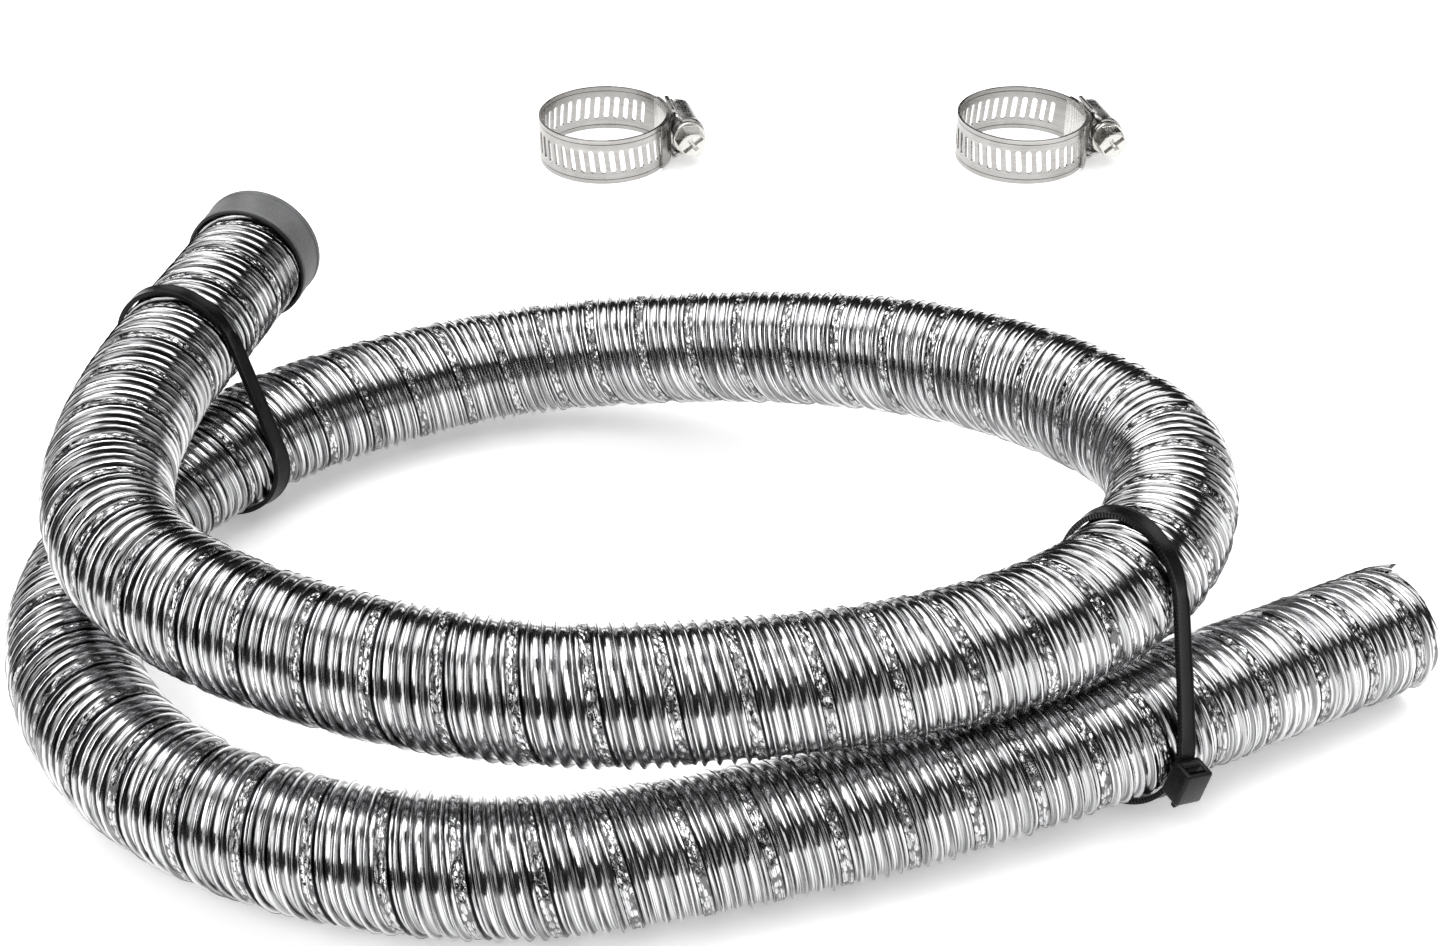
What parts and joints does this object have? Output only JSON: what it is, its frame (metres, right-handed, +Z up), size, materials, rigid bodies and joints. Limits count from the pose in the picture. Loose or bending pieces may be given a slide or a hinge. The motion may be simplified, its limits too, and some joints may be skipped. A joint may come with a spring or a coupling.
{
  "type": "flexible air duct",
  "caption": "Flexible corrugated aluminium air duct, coiled and held by cable ties, with a grey end sleeve and loose worm-drive clamps.",
  "frame": {"origin": "on the floor, under the middle of the whole set (coil and loose clamps)", "axes": "+Z up; +X to the right, the way the free end points; +Y from the coil towards the clamps behind it"},
  "size_m": [0.3054, 0.363, 0.0611],
  "materials": {
    "foil": "bright",
    "liner": "satin",
    "sleeve": "matte",
    "seal": "matte",
    "nylon": "satin",
    "stainless": "satin",
    "zinc_steel": "bright"
  },
  "bodies": {
    "duct": {"duct_wall_sleeved_end": "foil", "duct_wall_upper_left": "foil", "duct_wall_upper_front": "foil", "duct_wall_right_and_back": "foil", "duct_wall_lower_left": "foil", "duct_wall_lower_front": "foil", "duct_wall_free_end": "foil", "duct_liner_sleeved_end": "liner", "duct_liner_coil": "liner", "duct_liner_free_end": "liner", "cable_tie_left": "nylon", "cable_tie_right": "nylon", "clamp_1_band": "stainless", "clamp_1_saddle": "stainless", "clamp_1_housing": "stainless", "clamp_2_band": "stainless", "clamp_2_saddle": "stainless", "clamp_2_housing": "stainless"},
    "sleeve": {"end_sleeve": "sleeve", "sleeve_seal_ring": "seal"},
    "clamp_1_screw": {"clamp_1_screw": "zinc_steel"},
    "clamp_1_tail": {"clamp_1_band_tail": "stainless"},
    "clamp_2_screw": {"clamp_2_screw": "zinc_steel"},
    "clamp_2_tail": {"clamp_2_band_tail": "stainless"}
  },
  "joints": [
    {"name": "end_sleeve_slide", "type": "slide", "parent": "duct", "child": "sleeve", "axis": [0.2136, 0.9767, 0.0215], "range_m": [0, 0.012]},
    {"name": "clamp_1_screw_turn", "type": "hinge", "parent": "duct", "child": "clamp_1_screw", "pos_m": [-0.01102, 0.16752, 0.00835], "axis": [-0.2419, 0.9703, 0], "range_deg": [-360, 720]},
    {"name": "clamp_1_tail_feed", "type": "hinge", "parent": "duct", "child": "clamp_1_tail", "pos_m": [-0.03528, 0.16147, 0.00835], "axis": [0, 0, -1], "range_deg": [-9, 18]},
    {"name": "clamp_2_screw_turn", "type": "hinge", "parent": "duct", "child": "clamp_2_screw", "pos_m": [0.11828, 0.16752, 0.00835], "axis": [-0.2419, 0.9703, 0], "range_deg": [-360, 720]},
    {"name": "clamp_2_tail_feed", "type": "hinge", "parent": "duct", "child": "clamp_2_tail", "pos_m": [0.09402, 0.16147, 0.00835], "axis": [0, 0, -1], "range_deg": [-9, 18]}
  ],
  "couplings": [
    {"joint": "clamp_1_tail_feed", "follows": "clamp_1_screw_turn", "ratio": 0.024156},
    {"joint": "clamp_2_tail_feed", "follows": "clamp_2_screw_turn", "ratio": 0.024156}
  ]
}
